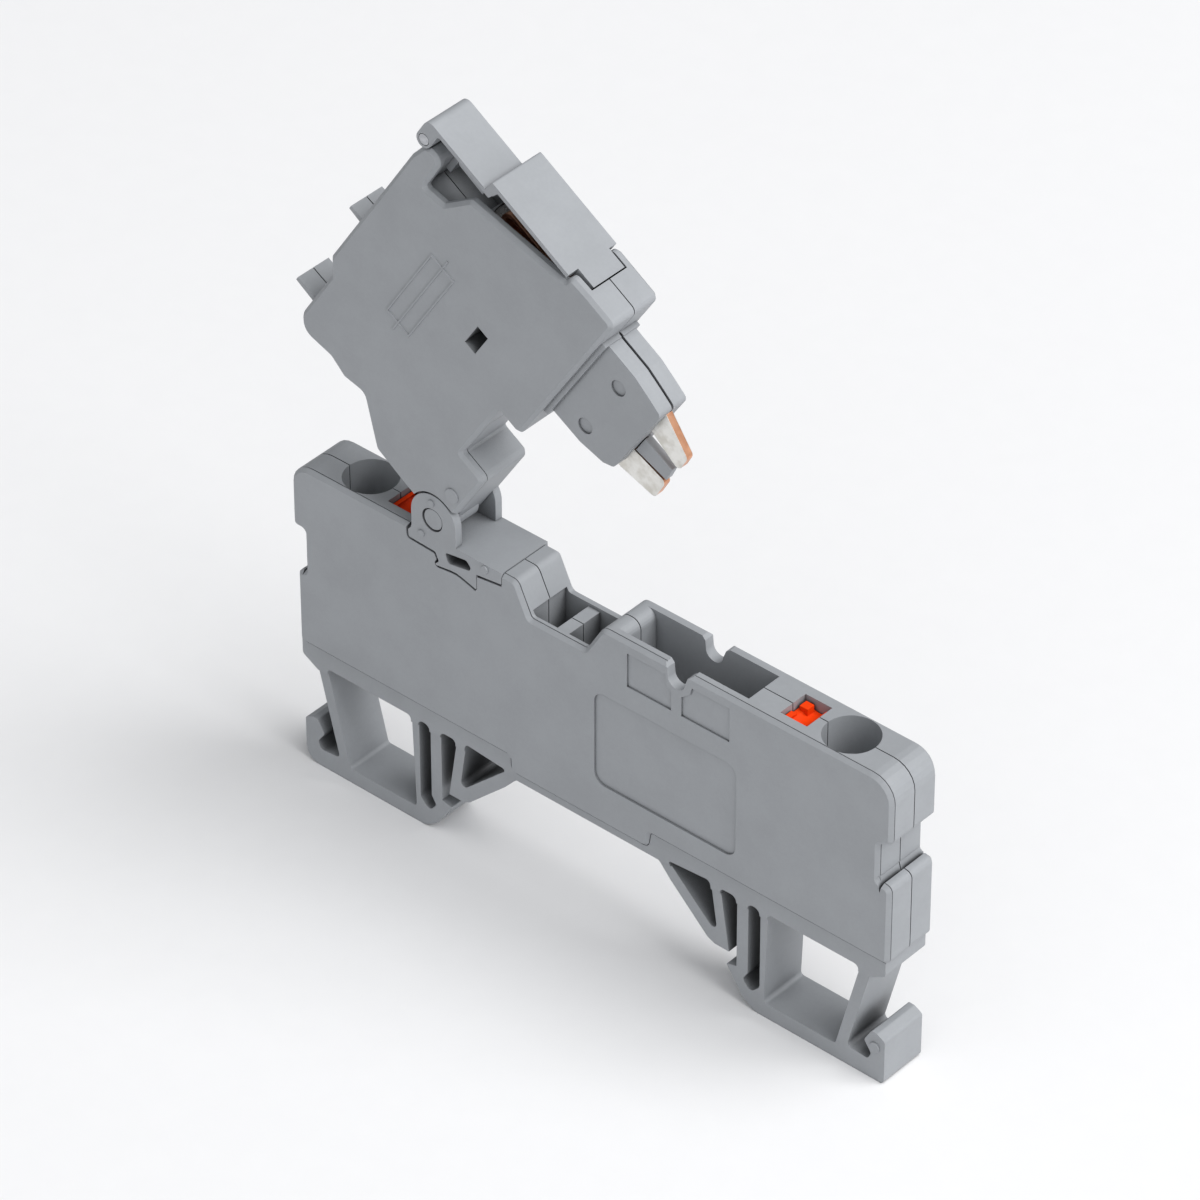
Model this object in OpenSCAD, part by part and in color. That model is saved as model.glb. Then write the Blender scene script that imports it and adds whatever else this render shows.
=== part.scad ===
// Fuse terminal block for a 35 mm mounting rail.
// X runs along the block, Y across its width and Z up. The origin is the middle
// of the rail, at the rail's top face. The fuse lever is drawn in its shut place
// about its own pivot, and on_lever() swings it to the open place.

/* [Housing] */
// Length of the housing, over both ends
housing_l = 70.4; // [66:0.2:76]
// Width of the whole block
housing_w = 6.2; // [6.1:0.1:7.5]
// Height of the housing top above the rail
top_z = 29.3; // [28:0.1:33]
// Height of the cover's lower edge above the rail
cover_z = 8.9; // [8:0.1:9.6]
// Height of the housing's underside above the rail
belly_z = 6.25; // [5.8:0.05:7]
// Thickness of the housing's side walls
wall = 0.8; // [0.7:0.05:0.85]
// Radius of the two top corners
corner_r = 2.4; // [1:0.1:3.4]
// Bevel round the outer side faces
edge = 0.35; // [0.2:0.05:0.5]
// Gap at the joint line between body and cover
seam = 0.1; // [0.06:0.02:0.2]

/* [Rail foot] */
// Width of the mounting rail
rail_w = 35; // [34.6:0.1:35.6]
// Thickness of the rail's flange
rail_t = 1; // [0.9:0.05:1.1]
// Play of the rail between the hooks, at each side
rail_play = 0.2; // [0.1:0.05:0.4]
// Reach of each hook under the rail
hook_reach = 1.2; // [0.8:0.1:1.4]
// Depth of the foot below the rail's top face
foot_depth = 5.3; // [4.8:0.1:6]
// Width of the foot, across the block
foot_w = 5.2; // [4.6:0.1:5.8]
// Width of the slot beside each hook
slot_w = 1.4; // [1:0.1:1.6]

/* [Wire entries] */
// Distance of the wire entry's axis from the housing's end
entry_inset = 7.1; // [6.6:0.1:7.6]
// Radius of the funnel's mouth
funnel_r = 2.65; // [2.3:0.05:2.7]
// Depth of the funnel's straight mouth
funnel_d = 4.2; // [3.4:0.1:4.4]
// Radius of the wire bore
bore_r = 1.75; // [1.3:0.05:1.9]
// Distance between the wire entry and the button beside it
button_pitch = 5.1; // [5:0.05:5.4]
// Length of the button, along the block
button_l = 2.8; // [2.4:0.1:2.8]
// Width of the button, across the block
button_w = 3.2; // [2.6:0.1:3.4]
// Play round the button in its well
button_play = 0.1; // [0.06:0.02:0.14]
// Travel of the button
button_travel = 1.2; // [0.8:0.1:1.4]

/* [Hinge] */
// Distance of the lever's axis from the housing's left end
pivot_inset = 17.5; // [17.1:0.1:17.9]
// Height of the lever's axis above the housing top
pivot_h = 2.1; // [2.1:0.05:2.5]
// Radius of the lever's trunnions
trunnion_r = 1.05; // [0.8:0.05:1.2]
// Radial clearance of the trunnions in the ears
trunnion_play = 0.05; // [0.03:0.01:0.08]
// Radius of the lever's hub between the ears
hub_r = 1.6; // [1.4:0.05:1.9]
// Radius of the bracket's ears
ear_r = 2.65; // [2.3:0.05:2.7]
// Thickness of one ear
ear_t = 0.85; // [0.7:0.05:0.95]
// Angle by which the lever stands open
lever_open = 57; // [0:1:57]

/* [Lever] */
// Distance of the shut lever's free end from the housing's right end
lever_inset = 15.3; // [14.5:0.1:16]
// Height of the lever above its axis
lever_h = 22.4; // [22:0.1:24]
// Depth of the lever below its axis
lever_low = 0.9; // [0.8:0.05:1.1]
// Thickness of the lever's cover plate
plate_t = 0.85; // [0.75:0.05:0.95]
// Length of the plug, along the lever
plug_l = 11.6; // [11.2:0.1:12]
// Depth of the plug below the lever's axis
plug_depth = 8.85; // [8.4:0.05:8.9]
// Thickness of the plug
plug_t = 3.5; // [3:0.1:3.6]
// Play of the plug in its chamber, at each side
plug_play = 0.3; // [0.2:0.05:0.35]
// Height of the marker ribs
rib_h = 2.2; // [1.5:0.1:2.6]

/* [Contacts] */
// Thickness of the blades
blade_t = 0.8; // [0.6:0.05:0.9]
// Length of the blades below the plug
blade_reach = 4.3; // [3.6:0.1:4.6]
// Width of a blade where it leaves the plug
blade_w = 3; // [2.4:0.1:3.1]
// Thickness of the fork's leaves
leaf_t = 0.5; // [0.4:0.05:0.6]
// Clearance between a blade and a leaf
leaf_play = 0.04; // [0.03:0.01:0.08]
// Thickness of the current bars
bar_t = 0.8; // [0.6:0.05:1]
// Width of the current bars
bar_w = 3; // [2.6:0.1:3.2]
// Thickness of the spring strips
spring_t = 0.4; // [0.3:0.05:0.5]

/* [Fuse] */
// Length of the fuse
fuse_l = 20; // [19.5:0.1:20.5]
// Radius of the fuse's caps
cap_r = 2.6; // [2.5:0.01:2.62]
// Length of one cap
cap_l = 5; // [4:0.1:6]
// Radius of the glass tube
tube_r = 2.3; // [2.1:0.05:2.4]
// Distance of the fuse's axis below the lever's top
fuse_drop = 10.8; // [10.4:0.1:11]

/* [Lid] */
// Thickness of the lid
lid_t = 1; // [0.8:0.05:1.1]
// Radius of the lid's pin
pin_r = 0.55; // [0.45:0.05:0.6]
// Radial clearance of the pin in the lid
pin_play = 0.05; // [0.03:0.01:0.08]
// Gap round the shut lid
lid_gap = 0.15; // [0.1:0.05:0.25]

/* [Hidden] */
$fn = 48;
left = -1;
right = 1;

// Housing
side_y = housing_w / 2;
half_l = housing_l / 2;
inner_y = side_y - wall;
cut = 0.5;                      // how far a cut runs past the face it opens
reach = 0.15;                   // how far a ring that cuts a bevel stands off the faces
edge_r = edge + 2 * reach;      // least radius of a corner that the bevel goes round
groove_y = -side_y + 0.45;      // fine line moulded round the cover's rim
groove_w = 0.11;
groove_d = 0.14;
end_notch_z = [17.6, 22.1];     // notch in each end of the housing
end_notch_d = 1.4;
rim_z = 7.3;                    // outer corner of the band under the cover
band_y = side_y - 0.35;
cover_gap = 0.06;
jog_x = [-9, 7.7];              // stretch where the cover reaches lower down
jog_z = 7.1;
snap_r = 0.7;
snap_play = 0.05;
snap_depth = 1.9;
housing_snaps = [[2.3 - half_l, 25.8], [half_l - 2.3, 25.8], [-12.5, 17], [0, 17], [18, 16.5]];

// Rail foot
hook_x = rail_w / 2 + rail_play;
hook_z = -rail_t - rail_play;
foot_end = half_l - 0.4;
strut_w = 1.2;

// Wire entries and buttons
entry_x = half_l - entry_inset;
button_x = entry_x - button_pitch;
room_top = 22;                  // roof of the clamp's room
room_low = cover_z + 1.2;       // its floor
room_out = half_l - 2;
well_l = button_l + 2 * button_play;
well_w = button_w + 2 * button_play;
room_in = button_x - well_l / 2 - 0.6;
entry_cone = 1.2;
bore_top = top_z - funnel_d - entry_cone;
collar = 0.4;                   // ledge that keeps the button in its well
collar_z = 24.4;
collar_h = 0.9;
button_top = top_z - 0.3;
stem_low = room_top - 0.8;

// Hinge
pivot_x = pivot_inset - half_l;
pivot_z = top_z + pivot_h;
bracket_top = top_z + 0.15;
bracket_gap = 0.06;
bracket_end = pivot_x + 8.1;
gap_w = 0.26;                   // open part of the line round the bracket
gap_d = 0.9;
ear_gap = 0.12;
hub_y = side_y - ear_t - ear_gap;
hub_back = 1.2;
relief_r = ear_r + 0.2;

// Lever, seen from its own axis
lever_l = housing_l - pivot_inset - lever_inset;
lever_x0 = -0.1;                // left edge above the axis
plug_x1 = lever_l - 3.75;
plug_x0 = plug_x1 - plug_l;
plug_y = plug_t / 2;
back_y = side_y - 0.85;         // inner face of the rear plate
plate_y = plate_t - side_y;     // inner face of the cover plate
notch_x = [plug_x0 - 12.95, plug_x0 - 4.65]; // finger notch in the lever's lower edge
notch_w = 2;
lid_low = 2.75;                 // top of the corner block under the lid
split_w = 15.4;                 // height at which the lid steps outwards
pin_x = lever_l - 3.6;
pin_w = lever_h - 0.05;
knuckle_r = pin_r + 0.3;
lug_y = [-0.5, 0.7];            // lug that carries the lid's pin
lid_out = [lever_l - 1.4, lever_l - 0.1];
lid_back = 1.75;                // rear edge of the lid's narrow part
lip_t = 0.45;                   // thickness of the lid's front lip
lip_y = plate_y + 0.05;
lever_snaps = [[5.5, 8.4], [6.5, lever_h - 4], [lever_l - 17.6, lever_h - 4],
               [lever_l - 10, 5.4], [plug_x0 + 5.1, -4.6]];
lever_snap_r = 0.6;
leg_end = [plug_x0 - 8.2, 3.2]; // the lever's leg is the body's up to here
leg_y = side_y - plate_t - 0.05;
plug_seam = 0.26;
square_x = [lever_l - 17.3, lever_l - 14.5]; // square hole through the cover
square_w = [6.8, 8.2];

// Chamber for the plug, from the plug's own path about the axis
chamber_x0 = pivot_x + plug_x0 - 0.45;
chamber_x1 = pivot_x + norm([plug_x1, plug_depth]) + 0.95;
chamber_y = plug_y + plug_play;
chamber_z = pivot_z - plug_depth - 0.25;
chamber_r = 1;
grip_x = chamber_x0 + 6.75;     // notch for a fingertip in the chamber's walls
grip_r = 1;
label_x = [chamber_x0 - 2.8, chamber_x1 - 0.45];
label_z = [top_z - 17.7, top_z - 7.3];

// Dip in the housing's top, with a trough that a rib divides
dip_x = [pivot_x + 11.35, chamber_x0 - 3.9];
dip_d = 3.4;
trough_y = side_y - 0.85;
trough_d = 9.8;
rib_x = [dip_x[0] + 2.35, dip_x[0] + 3.7];

// Blades and forks
blade_root = -3;
blade_tip = -plug_depth - blade_reach + 0.1;
blade_x = [plug_x0 + 1.85, plug_x1 - 3.2];   // middle of each blade as it leaves the plug
blade_lean = [0.7, -1.15];                   // how far each tip stands to the side
blade_tip_w = [blade_w - 0.5, blade_w - 1];
fork_top = chamber_z - 0.35;
fork_low = room_low + 2.6;
fork_y = blade_t / 2 + leaf_play;
fork_w = 3.4;
fork_x = [for (i = [0, 1]) pivot_x + blade_x[i] + blade_lean[i] / 2];
shaft_y = fork_y + leaf_t + 0.25;
bar_z = room_low + 0.05;
bar_top = bar_z + bar_t;
channel_y = bar_w / 2 + 0.1;

// Fuse
fuse_z = lever_h - fuse_drop;
fuse_x1 = lever_l - 5.3;
fuse_x0 = fuse_x1 - fuse_l;
fuse_room_r = cap_r + 0.06;
strip_w = 2.4;
strip_room = 0.25;
bend_r = 0.75;

function xy(p) = [p[0], p[1]];
function unit(v) = v / norm(v);

// A corner of an outline as an arc of radius r, or as it is where r is 0
function corner(p0, p1, p2, r) =
    r <= 0 ? [p1] :
    let (
        a = unit(p0 - p1),
        b = unit(p2 - p1),
        half = acos(a * b) / 2,
        reach = r / tan(half),
        mid = p1 + unit(a + b) * (r / sin(half)),
        from = p1 + a * reach - mid,
        to = p1 + b * reach - mid,
        start = atan2(from[1], from[0]),
        turn = atan2(from[0] * to[1] - from[1] * to[0], from * to),
        n = max(2, ceil(abs(turn) / (r < 0.8 ? 24 : 15)))
    )
    [for (i = [0 : n]) mid + r * [cos(start + turn * i / n), sin(start + turn * i / n)]];

// An outline from points [x, z] or [x, z, radius of the corner]
function rounded(pts) =
    let (n = len(pts))
    [for (i = [0 : n - 1])
        each corner(xy(pts[(i + n - 1) % n]), xy(pts[i]), xy(pts[(i + 1) % n]),
                    len(pts[i]) > 2 ? pts[i][2] : 0)];

// An outline drawn inwards by d, for points that run counter-clockwise
function inset(pts, d) =
    let (n = len(pts))
    [for (i = [0 : n - 1])
        let (
            e0 = unit(pts[i] - pts[(i + n - 1) % n]),
            e1 = unit(pts[(i + 1) % n] - pts[i]),
            n0 = [-e0[1], e0[0]],
            n1 = [-e1[1], e1[0]]
        )
        pts[i] + d * (n0 + n1) / (1 + n0 * n1)];

// An open path with its inner corners as arcs
function bent(path) =
    let (last = len(path) - 1)
    [for (i = [0 : last])
        each i == 0 || i == last ? [xy(path[i])]
            : corner(xy(path[i - 1]), xy(path[i]), xy(path[i + 1]), path[i][2])];

function arc(centre, r, from, to, n = 8) =
    [for (i = [0 : n]) centre + r * [cos(from + (to - from) * i / n),
                                     sin(from + (to - from) * i / n)]];

// Outline of a strip of thickness t along an open path
function strip_outline(path, t) =
    let (
        last = len(path) - 1,
        side = [for (i = [0 : last])
            let (
                e0 = unit(path[max(i, 1)] - path[max(i, 1) - 1]),
                e1 = unit(path[min(i, last - 1) + 1] - path[min(i, last - 1)]),
                n0 = [-e0[1], e0[0]],
                n1 = [-e1[1], e1[0]]
            )
            (n0 + n1) / (1 + n0 * n1) * t / 2]
    )
    concat([for (i = [0 : last]) path[i] - side[i]],
           [for (i = [last : -1 : 0]) path[i] + side[i]]);

// A flat shape drawn in X and Z, between two places across the block
module slab(y0, y1) {
    translate([0, y1, 0])
        rotate([90, 0, 0])
            linear_extrude(y1 - y0) children();
}

// A ring of three-sided section that follows an outline and cuts its edge away.
// section holds [place across the block, distance inside the outline], from the
// outer front corner over the outer rear one to the inner one.
module ring_cut(outline, section) {
    n = len(outline);
    points = [for (k = [0 : 2]) for (p = inset(outline, section[k][1])) [p[0], section[k][0], p[1]]];
    faces = [for (k = [0 : 2]) for (i = [0 : n - 1])
        [k * n + i, k * n + (i + 1) % n, (k + 1) % 3 * n + (i + 1) % n, (k + 1) % 3 * n + i]];
    polyhedron(points, faces, convexity = 8);
}

module front_bevel(outline) {
    y = -side_y;
    ring_cut(outline, [[y - reach, -reach], [y + edge + reach, -reach], [y - reach, edge + reach]]);
}

module rear_bevel(outline) {
    y = side_y;
    ring_cut(outline, [[y - edge - reach, -reach], [y + reach, -reach], [y + reach, edge + reach]]);
}

module along_y(x, z, r, y0, y1) {
    translate([x, y1, z])
        rotate([90, 0, 0])
            cylinder(h = y1 - y0, r = r);
}

module block(x0, x1, y0, y1, z0, z1) {
    translate([x0, y0, z0]) cube([x1 - x0, y1 - y0, z1 - z0]);
}

module at_side(side) {
    if (side > 0) children();
    else mirror([1, 0, 0]) children();
}

// Swings a piece of the lever about the lever's axis, from shut to open
module on_lever() {
    translate([pivot_x, 0, pivot_z])
        rotate([0, -lever_open, 0]) children();
}

// Outline of the housing above the rail foot, or of its cover with the deeper middle
function housing_outline(middle = []) = rounded(concat([[0.4 - half_l, cover_z, edge_r]], middle, [
    [half_l, cover_z, edge_r],
    [half_l, end_notch_z[0], edge_r],
    [half_l - end_notch_d, end_notch_z[0] + 0.2, 0.3],
    [half_l - end_notch_d, end_notch_z[1] - 0.2, 0.3],
    [half_l, end_notch_z[1] + 0.5, edge_r],
    [half_l, top_z, corner_r],
    [dip_x[1] + 2, top_z, 1],
    [dip_x[1], top_z - dip_d, 0.5],
    [dip_x[0], top_z - dip_d, 0.4],
    [dip_x[0] - 1.6, top_z, 0.8],
    [-half_l, top_z, corner_r],
    [-half_l, end_notch_z[1], edge_r],
    [end_notch_d - half_l, end_notch_z[1], 0.3],
    [end_notch_d - half_l, end_notch_z[0] - 0.3, 0.3],
    [0.4 - half_l, end_notch_z[0] - 0.5, edge_r]
]));

function cover_face() = housing_outline([
    [jog_x[0], cover_z, 0.3], [jog_x[0] + 0.1, jog_z, edge_r],
    [jog_x[1] - 0.3, jog_z, edge_r], [jog_x[1], cover_z, 0.3]]);

// Funnel and bore for the wire
module wire_entry() {
    translate([entry_x, 0, top_z - funnel_d]) cylinder(h = funnel_d + cut, r = funnel_r);
    translate([entry_x, 0, bore_top]) cylinder(h = entry_cone, r1 = bore_r, r2 = funnel_r);
    translate([entry_x, 0, room_top - cut]) cylinder(h = bore_top - room_top + cut, r = bore_r);
}

module button_well() {
    x0 = button_x - well_l / 2;
    x1 = button_x + well_l / 2;
    block(x0, x1, -well_w / 2, well_w / 2, room_top - cut, top_z + cut);
    block(x0 - collar, x1 + collar, -well_w / 2, well_w / 2, room_top - cut, collar_z + 0.05);
}

// U-shaped notch for a fingertip in the walls of the plug's chamber
module chamber_notch() {
    z = top_z - 1.2;
    along_y(grip_x, z, grip_r, -side_y - cut, side_y + cut);
    slab(-side_y - cut, side_y + cut)
        translate([grip_x, z])
            polygon([[-grip_r + 0.01, -0.1], [grip_r - 0.03, -0.1], [1.3, 0.8], [1.75, 1.12],
                     [1.9, 1.2 + cut], [-1.5, 1.2 + cut], [-1.4, 1.15], [-1.08, 0.8]]);
}

// Trough in the dip, with the rib left standing
module trough() {
    difference() {
        block(dip_x[0] - 0.4, dip_x[1] - 0.1, -trough_y, trough_y,
              top_z - trough_d, top_z - dip_d + cut);
        block(rib_x[0], rib_x[1], -side_y, side_y, top_z - trough_d - cut, top_z - dip_d - 0.35);
    }
}

// Narrow groove at the foot of each end notch
module end_grooves() {
    x = half_l - end_notch_d;
    z = end_notch_z[0];
    slab(-side_y - cut, side_y + cut)
        for (side = [0, 1]) mirror([side, 0])
            polygon([[x - 0.12, z + 0.7], [x + 0.3, z - 0.8], [x + 0.55, z + 0.3]]);
}

// The parts of the line round the bracket that stand open, on the cover's side
module bracket_lines() {
    slab(-side_y - cut, gap_d - side_y)
        translate([pivot_x, top_z]) {
            polygon(strip_outline(bent([
                [-2.85, 0.3], [-3.23, -0.45, 0.2], [-3.13, -1.37, 0.25], [0.1, -1.52, 0.3],
                [0.47, -2.28, 0.25], [-0.18, -2.99, 0.25], [2.7, -2.63, 3], [5, -3.3]]), gap_w));
            polygon(strip_outline([[5.2, -1.62], [8.1, -1.22]], gap_w));
        }
}

// What the two halves of the housing leave free between their side walls
module housing_rooms() {
    for (side = [left, right]) at_side(side) {
        wire_entry();
        button_well();
        block(room_in, room_out, -inner_y, inner_y, room_low, room_top);
    }
    block(-room_in - cut, fork_x[0] + fork_w / 2 + 0.2, -channel_y, channel_y,
          room_low, bar_top + 0.1);
    block(fork_x[1] - fork_w / 2 - 0.2, room_in + cut, -channel_y, channel_y,
          room_low, bar_top + 0.1);
    block(fork_x[0] - fork_w / 2 - 0.3, fork_x[1] + fork_w / 2 + 0.8, -shaft_y, shaft_y,
          bar_top, chamber_z + cut);
    slab(-chamber_y, chamber_y)
        polygon(concat(arc([chamber_x0 - chamber_r, top_z - chamber_r], chamber_r, 90, 0, 6),
                       [[chamber_x0, chamber_z], [chamber_x1, chamber_z],
                        [chamber_x1, top_z + cut], [chamber_x0 - chamber_r, top_z + cut]]));
    chamber_notch();
    trough();
    end_grooves();
    slab(-side_y - cut, side_y + cut) polygon(inset(bracket_outline(), -bracket_gap));
}

// Bare field for a label, and a shallow field on each side of the chamber's notch
module cover_fields() {
    slab(-side_y - cut, 0.22 - side_y)
        polygon(rounded([[label_x[0], label_z[0], 1.2], [label_x[1], label_z[0], 1.2],
                         [label_x[1], label_z[1], 1.2], [label_x[0], label_z[1], 1.2]]));
    slab(-side_y - cut, 0.17 - side_y)
        translate([grip_x, top_z]) {
            polygon([[0.6, -4.9], [6.1, -4.9], [6.1, -1.2], [1.8, -1.2], [1.6, -2], [0.6, -2.8]]);
            polygon([[-5.7, -4.9], [-0.6, -4.9], [-0.6, -2.8], [-1.2, -2.2], [-1.3, -1.2],
                     [-5.7, -1.2]]);
        }
}

module housing_cover() {
    color([0.56, 0.58, 0.60])
        difference() {
            union() {
                slab(-side_y, -seam / 2) polygon(cover_face());
                for (p = housing_snaps) along_y(p[0], p[1], snap_r, -1, snap_depth);
            }
            front_bevel(cover_face());
            ring_cut(cover_face(), [[groove_y - groove_w, -reach],
                [groove_y + groove_w, -reach], [groove_y, groove_d]]);
            housing_rooms();
            bracket_lines();
            cover_fields();
        }
}

// Inner side of the foot's slanting outer leg at height z
function leg_x(z) = half_l - 6 + (z + foot_depth - 1.65) / 4;

// One side of the rail foot, from the middle to the right, with the radius of its end
module foot_side(end_r) {
    low = -foot_depth;
    outer = strut_w;
    polygon(rounded([
        [5, belly_z + 1], [5, belly_z], [8.4, belly_z, 1.2], [hook_x - 7.8, belly_z - 1.7, 1.2],
        [hook_x - 3.4, 0.35, 0.5], [hook_x - 2.6, 0, 0.3], [hook_x - 0.9, 0],
        [hook_x - 1.9, belly_z + 0.2], [hook_x, belly_z + 0.2], [hook_x, hook_z],
        [hook_x - hook_reach, hook_z - 0.3, 0.1], [hook_x + 0.7, low + 1, 1],
        [hook_x + 2.2, low, 0.8], [foot_end, low, end_r], [foot_end, -0.4, 0.3],
        [foot_end - 0.9, 0.1, 0.3], [foot_end - 1.55, 0.1, 0.2], [foot_end - 2.35, -1.3, 0.35],
        [foot_end - 1.5, -2.5, 0.4], [foot_end - 1.9, -3.3, 0.4], [leg_x(-3.1) + outer, -3.1, 0.4],
        [leg_x(belly_z) + outer, belly_z, 0.6], [leg_x(belly_z) + outer + 0.8, belly_z + 1]
    ]));
}

// The slots and windows of one side of the foot
module foot_holes() {
    low = -foot_depth;
    slot_x = hook_x + 1.3;
    slot_end = slot_x + slot_w;
    roof = belly_z + 0.7;
    polygon(rounded([[hook_x - 8.2, belly_z + 0.5, 0.25], [hook_x - 2.2, 1.1, 0.45],
                     [hook_x - 3.1, belly_z + 0.9, 0.5]]));
    polygon(rounded([[hook_x - 1.9, belly_z], [hook_x, belly_z], [hook_x, roof, 0.6],
                     [hook_x - 1.9, roof, 0.5]]));
    polygon(rounded([
        [slot_x, roof, 0.6], [slot_x, low + 4, 0.4], [slot_x - 0.55, low + 3.1, 0.35],
        [slot_x + 0.3, low + 2, 0.5], [slot_end, low + 3.1, 0.6], [slot_end, roof, 0.6]]));
    polygon(rounded([
        [slot_end + 0.9, roof, 0.5], [slot_end + 0.5, low + 1.65, 0.4],
        [leg_x(low + 1.65), low + 1.65, 0.4], [leg_x(roof), roof, 0.5]]));
}

module housing_body() {
    rim_x = leg_x(belly_z) + strut_w + 0.9;
    band_x = foot_end - 0.05;
    color([0.56, 0.58, 0.60])
        difference() {
            union() {
                difference() {
                    slab(seam / 2, side_y) polygon(housing_outline());
                    rear_bevel(housing_outline());
                }
                difference() {
                    union() {
                        slab(-band_y, band_y)
                            polygon(rounded([
                                [-band_x, cover_z + 0.6], [-band_x, rim_z, 0.5],
                                [-rim_x, belly_z + 0.5, 0.5], [0.9 - rim_x, belly_z, 0.3],
                                [rim_x - 0.9, belly_z, 0.3], [rim_x, belly_z + 0.5, 0.5],
                                [band_x, rim_z, 0.5], [band_x, cover_z + 0.6]]));
                        slab(-foot_w / 2, foot_w / 2) {
                            foot_side(0.5);
                            mirror([1, 0]) foot_side(1.6);
                        }
                    }
                    slab(-side_y - cut, seam / 2 + 0.02) polygon(inset(cover_face(), -cover_gap));
                }
            }
            slab(-side_y - cut, side_y + cut)
                for (side = [0, 1]) mirror([side, 0]) foot_holes();
            housing_rooms();
            for (p = housing_snaps)
                along_y(p[0], p[1], snap_r + snap_play, -cut, snap_depth + 0.1);
        }
}

// Bracket with the two ears for the lever's trunnions, clipped into the housing's top
function bracket_outline() = rounded([
    [pivot_x - 2.7, top_z], [pivot_x - 3.1, top_z - 0.5, 0.2],
    [pivot_x - 3, top_z - 1.25, 0.2], [pivot_x + 0.2, top_z - 1.4, 0.3],
    [pivot_x + 0.6, top_z - 2.3, 0.2], [pivot_x, top_z - 2.9, 0.1],
    [pivot_x + 2.7, top_z - 2.5, 3], [pivot_x + 5.1, top_z - 3.2, 0.1],
    [pivot_x + 5.1, top_z - 1.5, 0.1], [bracket_end, top_z - 1.1],
    [bracket_end, bracket_top], [pivot_x - 2.7, bracket_top]
]);

module hinge_bracket() {
    slot = [[pivot_x + 1.35, top_z - 0.9, 0.25], [pivot_x + 1.75, top_z - 1.95, 0.35],
            [pivot_x + 4.3, top_z - 1.5, 0.35], [pivot_x + 4.45, top_z - 1.1, 0.25],
            [pivot_x + 3.95, top_z - 0.5, 0.4]];
    color([0.55, 0.57, 0.59])
        difference() {
            union() {
                slab(-side_y, side_y) polygon(bracket_outline());
                for (y = [-side_y, side_y - ear_t]) {
                    along_y(pivot_x, pivot_z, ear_r, y, y + ear_t);
                    block(pivot_x - ear_r, pivot_x + ear_r, y, y + ear_t, top_z - 0.2, pivot_z);
                }
            }
            slab(-side_y - cut, side_y + cut) polygon(rounded(slot));
            along_y(pivot_x, pivot_z, trunnion_r + trunnion_play, -side_y - cut, side_y + cut);
            along_y(pivot_x - 0.12, pivot_z - 0.12, trunnion_r + 0.16, -side_y - cut, 0.35 - side_y);
        }
}

// Current bar from the middle of the block to a wire clamp, drawn for the right side
module busbar(from_x) {
    end_x = entry_x + bore_r + 0.15;
    slab(-bar_w / 2, bar_w / 2)
        polygon(concat([[from_x, bar_z]],
                       arc([end_x + bar_t - 1.2, bar_z + 1.2], 1.2, -90, 0),
                       [[end_x + bar_t, room_top - 1.6], [end_x, room_top - 1.6]],
                       arc([end_x + bar_t - 1.2, bar_z + 1.2], 1.2 - bar_t, 0, -90),
                       [[from_x, bar_top]]));
}

module busbar_left() {
    color([0.78, 0.78, 0.76]) mirror([1, 0, 0]) busbar(-fork_x[0] - fork_w / 2);
}

module busbar_right() {
    color([0.78, 0.78, 0.76]) busbar(fork_x[1] - fork_w / 2);
}

// Two leaves on a foot that stands on the current bar, splayed at their tips
module contact_fork(i) {
    x0 = fork_x[i] - fork_w / 2;
    x1 = fork_x[i] + fork_w / 2;
    splay = 0.2;
    color([0.80, 0.79, 0.76])
        translate([x0, 0, 0])
            rotate([90, 0, 90])
                linear_extrude(x1 - x0)
                    polygon([
                        [-fork_y - leaf_t, bar_top], [fork_y + leaf_t, bar_top],
                        [fork_y + leaf_t, fork_top - 1], [fork_y + leaf_t + splay, fork_top],
                        [fork_y + splay, fork_top], [fork_y, fork_top - 1],
                        [fork_y, fork_low], [-fork_y, fork_low],
                        [-fork_y, fork_top - 1], [-fork_y - splay, fork_top],
                        [-fork_y - leaf_t - splay, fork_top], [-fork_y - leaf_t, fork_top - 1]]);
}

module contact_fork_left() { contact_fork(0); }
module contact_fork_right() { contact_fork(1); }

// Spring strip that lies on the current bar, turns over at the room's inner wall and
// presses its free end against the bar beside the wire
module clamp_spring() {
    z = bar_top + spring_t / 2;
    r = 1.7;
    x = room_in + 0.25 + spring_t / 2 + r;
    color([0.74, 0.75, 0.77])
        slab(-bar_w / 2, bar_w / 2)
            polygon(strip_outline(concat(
                [[entry_x + 0.6, z]],
                arc([x, z + r], r, -90, -180),
                arc([x, room_top - 4.4], r, 180, 50),
                [[entry_x + bore_r - 0.45, bar_top + 2.85]]), spring_t));
}

module clamp_spring_left() { mirror([1, 0, 0]) clamp_spring(); }
module clamp_spring_right() { clamp_spring(); }

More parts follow.
